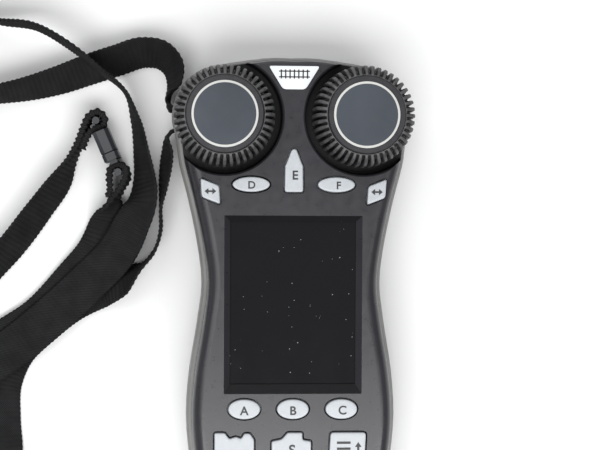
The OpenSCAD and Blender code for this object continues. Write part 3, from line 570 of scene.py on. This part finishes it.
def along(route, step):
    """Places along a route at even steps: centre, lean, width and distance, on one smooth curve."""
    p = np.array(route, float)
    lean = np.radians(p[:, 3])
    z = p[:, 2] + 0.1 + p[:, 4] / 2 * abs(np.sin(lean)) + STRAP_T / 2 * abs(np.cos(lean))
    rows = np.column_stack([p[:, 0], p[:, 1], z, lean, p[:, 4]])
    knots = np.concatenate([[0], np.cumsum(np.linalg.norm(np.diff(rows[:, :3], axis=0), axis=1))])
    slope = np.gradient(rows, knots, axis=0)
    s = np.linspace(0, knots[-1], int(knots[-1] / step) + 1)
    i = np.clip(np.searchsorted(knots, s, "right") - 1, 0, len(knots) - 2)
    h = (knots[i + 1] - knots[i])[:, None]
    t = ((s - knots[i])[:, None]) / h
    curve = ((2 * t**3 - 3 * t**2 + 1) * rows[i] + (t**3 - 2 * t**2 + t) * h * slope[i]
             + (3 * t**2 - 2 * t**3) * rows[i + 1] + (t**3 - t**2) * h * slope[i + 1])
    return curve, s


def ribbon(name, route, node):
    """Webbing swept along its route, with a rib across it at each pitch and a scalloped edge."""
    rows, s = along(route, RIB_PITCH / 6)
    centre = rows[:, :3]
    heading = np.gradient(centre, axis=0)
    heading /= np.linalg.norm(heading, axis=1)[:, None]
    side = np.stack([-heading[:, 1], heading[:, 0], 0 * s], axis=1)
    side /= np.linalg.norm(side, axis=1)[:, None]
    up = np.cross(heading, side)
    lean = rows[:, 3][:, None]
    across = np.cos(lean) * side + np.sin(lean) * up
    face = np.cross(heading, across)
    rib = np.cos(2 * math.pi * s / RIB_PITCH)
    half_w = rows[:, 4] / 2 - SCALLOP + SCALLOP * rib
    folded = (WEBBING_W / rows[:, 4]) ** 1.5
    thick = STRAP_T / 2 * folded * (0.8 + 0.2 * rib)
    places = [-1, -0.97, -0.9, -0.6, -0.3, 0, 0.3, 0.6, 0.9, 0.97, 1]
    body = [(u, math.sqrt(max(0.0, 1 - max(0.0, (abs(u) - FLAT_SHARE) / 0.14) ** 2))) for u in places]
    section = body + [(u, -v) for u, v in body[-2:0:-1]]
    verts = np.stack([centre + (half_w * u)[:, None] * across + (thick * v)[:, None] * face
                      for u, v in section], axis=1)
    n, m = len(section), len(s)
    faces = [(k * n + i, (k + 1) * n + i, (k + 1) * n + (i + 1) % n, k * n + (i + 1) % n)
             for k in range(m - 1) for i in range(n)]
    faces += [tuple(range(n)), tuple(range((m - 1) * n + n - 1, (m - 1) * n - 1, -1))]
    piece = make_object(name, verts.reshape(-1, 3), faces)
    weave = piece.data.uv_layers.new(name="weave")
    for polygon in piece.data.polygons:
        for loop in polygon.loop_indices:
            v = piece.data.loops[loop].vertex_index
            weave.data[loop].uv = (s[v // n], section[v % n][0] * YARN_SCALE)
    finish_piece(piece, "case", WEBBING, [node], angle=60)
    return piece, centre


def strap_piece(name, route, node):
    piece, centre = ribbon(name, route, node)


for clip in ("clip_socket", "clip_plug"):
    smooth(paint(NODES[clip], CLIP), 30, bevel=0.22)
strap_piece("strap_upper_webbing", UPPER_ROUTE, "strap_upper")
strap_piece("strap_lower_webbing", LOWER_ROUTE, "strap_lower")


# ---------------------------------------------------------------- front shell
def shell_rings(outline, levels):
    """Rings of the front shell through levels of (height, inset), the first inset the same all round."""
    return [at_z(edge_ring(outline, inset, levels[0][1]), z) for z, inset in levels]


def well_cutter(side):
    centre = KNOB[side].xy
    lip_r, foot_r = 1.1, 0.7
    lip = [(WELL_R + lip_r * (1 - math.cos(a)), FACE_Z - 1.0 + lip_r * math.sin(a))
           for a in np.linspace(0, math.pi * 0.36, 6)]
    foot = [(WELL_R - foot_r + foot_r * math.sin(a), WELL_Z + foot_r - foot_r * math.cos(a))
            for a in np.linspace(0, math.pi / 2, 5)]
    top = [(lip[-1][0] + 2.5, lip[-1][1] + 2.0)]
    floor = [(r, WELL_Z) for r in (1, 3, 6, 9, 13)]
    return lathe("well", floor + foot + lip + top, centre, 128)


def window_cutter():
    lens_lo, lens_hi = low("window_lens"), high("window_lens")
    x0, x1 = lens_lo.x - LENS_PLAY[0], lens_hi.x + LENS_PLAY[0]
    y0, y1 = lens_lo.y - LENS_PLAY[1], lens_hi.y + LENS_PLAY[1]
    slope_x, slope_y = 1.75, 1.7

    def ring(dx, dy, foot, z):
        return [(x0 + dx, y0 + dy + foot, z), (x0 + dx, y1 - dy, z), (x1 - dx, y1 - dy, z),
                (x1 - dx, y0 + dy + foot, z)]

    return loft("window", [ring(slope_x, slope_y, 1, INNER_Z - 1), ring(slope_x, slope_y, 1, FACE_Z - 1.8),
                           ring(0, 0, 0, FACE_Z), ring(-0.9, -0.9, 0, FACE_Z + 1)])


def key_cutter(node):
    outline = key_outline(node)
    gap, rim = 0.3, 0.09
    return stack("hole", outline, [(INNER_Z - 2, gap), (FACE_Z - 0.12, gap), (FACE_Z + 0.01, gap + rim),
                                   (FACE_Z + 0.4, gap + rim)])


def front_shell():
    outline = case_outline(8)
    base = 1.72
    side = [(PARTING_Z + 0.7, base), (FACE_Z - 4.6, 1.9), (FACE_Z - 2.4, 2.4), (FACE_Z - 1, 3.3),
            (FACE_Z - 0.25, 4.5), (FACE_Z, 5.7)]
    groove = [(PARTING_Z, 2.2), (PARTING_Z + 0.34, 2.2), (PARTING_Z + 0.46, 1.75)]
    levels = groove + [tuple(level) for level in spline(side, 4)] + [side[-1]]
    rings = tiled([at_z(edge_ring(outline, inset, base), z) for z, inset in levels])
    outer = loft("front_shell_body", rings)
    hollow = shell_rings(outline, [(PARTING_Z - 1, 3.8), (FACE_Z - 5, 4.0), (INNER_Z, 5.6)])
    combine(outer, [loft("hollow", tiled(hollow))], "DIFFERENCE")
    under = [(r, WELL_Z - 2) for r in (1, 3, 6, 11, WELL_R + WELL_WALL)]
    walls = [lathe("wall", under + [(WELL_R + WELL_WALL, FACE_Z + 1)], KNOB[s].xy) for s in SIDES]
    for wall in walls:
        combine(wall, [loft("hull", rings)], "INTERSECT")
    combine(outer, walls, "UNION")
    badge = stack("pocket", badge_outline(),
                  [(FACE_Z - 1.3, 0.06), (FACE_Z - 0.1, 0.06), (FACE_Z + 1, 1.1)])
    infrared_lo, infrared_hi = low("infrared_window"), high("infrared_window")
    slit = block("slit", (infrared_lo.x - 0.1, infrared_lo.y - 2, infrared_lo.z - 0.1),
                 (infrared_hi.x + 0.1, infrared_hi.y + 4, infrared_hi.z + 0.1))
    bushings = [lathe("bushing", [(3.7, WELL_Z - 4), (3.7, WELL_Z + 2)], KNOB[s].xy, 40) for s in SIDES]
    wells = [well_cutter(s) for s in SIDES]
    combine(outer, [*wells, *bushings, window_cutter(), badge, slit, *map(key_cutter, KEYS)], "DIFFERENCE")
    finish_piece(outer, "case", FACE, ["front_shell"], angle=30)
    # Painted shade: faces in the wells, and on the window's top and bottom bevels, take the near-black
    # plastic.
    outer.data.materials.append(SHADED)
    lens_lo, lens_hi = low("window_lens"), high("window_lens")
    for polygon in outer.data.polygons:
        x, y, z = polygon.center / MM
        from_knob = min((Vector((x, y)) - KNOB[s].xy).length for s in SIDES)
        in_well = from_knob < WELL_R + 0.05 and z < FACE_Z - 0.6
        in_window = (lens_lo.x - LENS_PLAY[0] < x < lens_hi.x + LENS_PLAY[0]
                     and lens_lo.y - LENS_PLAY[1] < y < lens_hi.y + LENS_PLAY[1]
                     and INNER_Z - 0.05 < z < FACE_Z - 0.02 and abs(polygon.normal.x) < 0.3)
        polygon.material_index = int(in_well or in_window)


front_shell()


# ---------------------------------------------------------------- keys and their legends
def key_cap(node):
    outline = key_outline(node)
    centre = middle(node).xy
    stem = low(node).z
    stem_share = 0.82
    foot = [(q[0] - centre.x, q[1] - centre.y) for q in outline]
    foot = [(centre.x + stem_share * x, centre.y + stem_share * y) for x, y in foot]
    leg = loft("leg", [at_z(foot, z) for z in (stem, FLANGE_TOP - 0.5)])
    flange = loft("flange", [at_z(flat_outline(node, FLANGE_TOP), z) for z in (FLANGE_TOP - 1, FLANGE_TOP)])
    edge, play = 0.4, 0.12
    fillet = [(KEY_TOP - 0.03 - edge * (1 - math.sin(a)), -play - edge * (1 - math.cos(a)))
              for a in np.linspace(0, math.radians(80), 6)]
    rings = [at_z(grow(outline, g), z) for z, g in [(FLANGE_TOP - 0.9, -play)] + fillet]
    rim = np.array(rings[-1])[:, :2]
    mid = np.array(centre)
    for scale, rise in ((0.93, 0.012), (0.8, 0.02), (0.5, 0.028), (0.15, 0.03)):
        rings.append(at_z(mid + (rim - mid) * scale, KEY_TOP - 0.03 + rise))
    cap = loft("cap", rings)
    piece = join(node + "_cap", [leg, flange, cap])
    return finish_piece(piece, node + "_body", KEY, [node], angle=40)


def ink(name, node, outlines):
    """A legend on a key: flat shapes, each a list of points about the key's middle, printed on its top."""
    centre = middle(node)
    parts = [loft(name, [at_z([(centre.x + x, centre.y + y) for x, y in shape], z)
                         for z in (KEY_TOP - 0.05, KEY_TOP + 0.02)]) for shape in outlines]
    return finish_piece(join(name, parts), node + "_body", INK)


# How far a letter's outline is moved out, as a share of its size.
INK_WEIGHT = 0.025


def letter(node, text, size, shift=(0, 0)):
    """A legend in the built-in font, on a key's top."""
    curve = bpy.data.curves.new("legend", "FONT")
    curve.body, curve.size, curve.align_x, curve.align_y = text, size * MM, "CENTER", "CENTER"
    curve.extrude, curve.offset = 0.03 * MM, INK_WEIGHT * size * MM
    text_object = bpy.data.objects.new("legend", curve)
    bpy.context.scene.collection.objects.link(text_object)
    depsgraph = bpy.context.evaluated_depsgraph_get()
    mesh = bpy.data.meshes.new_from_object(text_object.evaluated_get(depsgraph))
    bpy.data.objects.remove(text_object)
    centre = middle(node)
    mesh.transform(Matrix.Translation(Vector((centre.x + shift[0], centre.y + shift[1], KEY_TOP)) * MM))
    piece = bpy.data.objects.new(f"{node}_legend", mesh)
    bpy.context.scene.collection.objects.link(piece)
    return finish_piece(piece, node + "_body", INK)


def double_arrow(width, height):
    w, h, head, shaft = width / 2, height / 2, height * 0.62, height * 0.14
    return [(-w, 0), (-w + head, h), (-w + head, shaft), (w - head, shaft), (w - head, h), (w, 0),
            (w - head, -h), (w - head, -shaft), (-w + head, -shaft), (-w + head, -h)]


def bar(x0, x1, y, thick):
    return [(x0, y - thick / 2), (x0, y + thick / 2), (x1, y + thick / 2), (x1, y - thick / 2)]


# Each key's letter, its size and its shift from the key's middle.
LETTERS = {
    "key_d": ("D", 3.1, (0.1, -0.3)), "key_e": ("E", 3.7, (0.3, -1.5)), "key_f": ("F", 3.1, (0.6, -0.3)),
    "key_a": ("A", 3.6, (0, -0.5)), "key_b": ("B", 3.6, (0, -0.5)), "key_c": ("C", 3.6, (0.3, -0.4)),
    "key_switch": ("S", 4.4, (0.2, -0.7)), "key_minus": ("-", 4.6, (0, 0)), "key_plus": ("+", 4.6, (0, 0)),
}
LETTERS.update({f"key_{digit}": (str(digit), 4.2, (0, 0)) for digit in range(10)})

for node in KEYS:
    key_cap(node)
    if node in LETTERS:
        letter(node, *LETTERS[node])
for side in SIDES:
    ink(f"direction_{side}_legend", f"key_direction_{side}", [double_arrow(3.5, 1.9)])
ink("menu_legend", "key_menu",
    [bar(-3.2, 0.9, y, 0.75) for y in (1.6, -0.2, -2)]
    + [[(2.85, -2.4), (2.85, 0.3), (2.2, 0.3), (3.2, 1.8), (4.2, 0.3), (3.55, 0.3), (3.55, -2.4)]])


# ---------------------------------------------------------------- knobs
RIBS = 44


def rib_depth(turn):
    """How deep the surface lies at a turn of one rib, from 0 on its land to 1 in the groove."""
    phase = abs((turn % 1) - 0.5) * 2
    rise = min(1.0, max(0.0, (phase - 0.18) / 0.42))
    return 1 - rise * rise * (3 - 2 * rise)


def knob_grip(side):
    centre = KNOB[side]
    per_rib = 12
    top = KNOB_TOP
    # radius, height, share of the groove's depth, and how much of it goes inward and how much down
    profile = [(CORE_R + 0.15, KNOB_Z, 0, 1, 0), (KNOB_R - 1.6, KNOB_Z, 0, 1, 0),
               (KNOB_R - 0.15, KNOB_Z, 1, 1, 0), (KNOB_R, KNOB_Z + 0.2, 1, 1, 0),
               (KNOB_R - 0.1, KNOB_Z + 4, 1, 1, 0),
               (KNOB_R - 0.3, top - 6, 1, 1, 0), (KNOB_R - 0.5, top - 4.2, 1, 1, 0.1),
               (KNOB_R - 0.8, top - 3.1, 1, 0.9, 0.5), (KNOB_R - 1.3, top - 2.2, 1, 0.6, 0.9),
               (KNOB_R - 1.9, top - 1.55, 1, 0.3, 1.3), (KNOB_R - 2.5, top - 1.1, 0.95, 0.1, 1.5),
               (KNOB_R - 3.0, top - 0.85, 0.95, 0, 1.5), (CORE_R + 0.5, top - 0.75, 0.7, 0, 1.5),
               (CORE_R + 0.35, top - 0.75, 0, 0, 1), (CORE_R + 0.15, top - 0.75, 0, 0, 1)]
    deep = 1.55
    rings, groove_shade_and_wear = [], []
    for r, z, share, inward, down in profile:
        ring = []
        for i in range(RIBS * per_rib):
            a = -2 * math.pi * i / (RIBS * per_rib)
            cut = deep * share * rib_depth(i / per_rib)
            reach = r - cut * inward
            ring.append((centre.x + reach * math.cos(a), centre.y + reach * math.sin(a),
                         z - 0.6 * cut * down))
            # 0 deep in a groove, where the rubber is painted dark as shade, and 1 on a rib's land, where it
            # shows wear.
            groove_shade_and_wear.append(1 - share * rib_depth(i / per_rib))
        rings.append(ring)
    n = len(rings[0])
    rings.append([(centre.x + (CORE_R + 0.15) * math.cos(-2 * math.pi * i / n),
                   centre.y + (CORE_R + 0.15) * math.sin(-2 * math.pi * i / n), KNOB_Z) for i in range(n)])
    piece = loft(f"knob_{side}_ribs", rings, capped=False)
    piece.data.attributes.new("groove_shade_and_wear", "FLOAT", "POINT").data.foreach_set("value", groove_shade_and_wear + [0.0] * n)
    bm = bmesh.new()
    bm.from_mesh(piece.data)
    bmesh.ops.remove_doubles(bm, verts=bm.verts, dist=0.001 * MM)
    bm.to_mesh(piece.data)
    bm.free()
    return finish_piece(piece, f"knob_{side}", KNOB_RUBBER, [f"knob_{side}_grip"], angle=50)


def knob_cap(side):
    centre = KNOB[side].xy
    foot = low(f"knob_{side}_cap").z
    top = high(f"knob_{side}_cap").z
    disc = lathe(f"knob_{side}_disc", [(CAP_R, foot), (CAP_R, top - 0.22), (CAP_R - 0.06, top - 0.12),
                                       (CAP_R - 0.2, top - 0.06), (9.0, top - 0.06), (5.0, top - 0.04),
                                       (1.0, top - 0.03)], centre, 128)
    finish_piece(disc, f"knob_{side}", CAP, [f"knob_{side}_cap"], angle=40)
    ring_r, hole_r = 9.7, 9.05
    outer = lathe(f"knob_{side}_ring", [(ring_r, top - 0.2), (ring_r, top - 0.04), (9.62, top)], centre, 128)
    hole = lathe("hole", [(hole_r, top - 0.4), (hole_r, top - 0.04), (9.12, top + 0.1)], centre, 128)
    combine(outer, [hole], "DIFFERENCE")
    finish_piece(outer, f"knob_{side}", RING, angle=40)


for side in SIDES:
    knob_grip(side)
    knob_cap(side)
    smooth(paint(NODES[f"knob_{side}_core"], CORE), 30)


# ---------------------------------------------------------------- badge and window
def badge():
    outline = badge_outline()
    top = high("badge_plate").z
    plate = stack("badge_face", outline, [(low("badge_plate").z, 0), (top - 0.18, 0), (top - 0.05, -0.07),
                                          (top, -0.22)])
    finish_piece(plate, "case", BADGE, ["badge_plate"], angle=30)
    centre = middle("badge_plate")
    half_sleeper, sleeper_ends = 0.2, (-0.3, 2.4)
    track = [bar(-4.6, 4.6, y, 0.36) for y in (0.2, 1.9)]
    track += [[(x - half_sleeper, sleeper_ends[0]), (x - half_sleeper, sleeper_ends[1]),
               (x + half_sleeper, sleeper_ends[1]), (x + half_sleeper, sleeper_ends[0])]
              for x in np.linspace(-3.9, 3.9, 7)]
    parts = [loft("track", [at_z([(centre.x + x, centre.y + y) for x, y in shape], z)
                            for z in (top - 0.05, top + 0.02)]) for shape in track]
    finish_piece(join("badge_track", parts), "case", INK)


badge()
smooth(paint(NODES["window_lens"], LENS), 30)

# ---------------------------------------------------------------- the rest keeps its CAD shape
# Each node's material, and the width of the bevel on its edges.
CARRIED = {
    "rear_shell": (BACK, 0), "battery_door": (BACK, 0), "display_panel": (DISPLAY, 0.1),
    "display_frame": (STEEL, 0), "main_board": (BOARD, 0), "radio_module": (STEEL, 0.15),
    "upper_key_mat": (MAT, 0), "lower_key_mat": (MAT, 0), "encoder_left": (DIE_CAST, 0.1),
    "encoder_right": (DIE_CAST, 0.1),
    "encoder_shaft_left": (STEEL, 0.2), "encoder_shaft_right": (STEEL, 0.2),
    "encoder_plunger_left": (PLUNGER, 0.1), "encoder_plunger_right": (PLUNGER, 0.1),
    "encoder_nuts": (STEEL, 0.1), "infrared_window": (INFRARED, 0), "infrared_emitters": (LED, 0),
    "socket_housing": (SOCKET, 0.12), "socket_contacts": (GOLD, 0), "battery_cells": (CELL, 0.2),
    "battery_springs": (STEEL, 0), "battery_contacts": (STEEL, 0), "case_screws": (BLACK_STEEL, 0.08),
    "board_screws": (STEEL, 0.08),
}
for node, (material, bevel) in CARRIED.items():
    smooth(paint(NODES[node], material), 32, bevel)
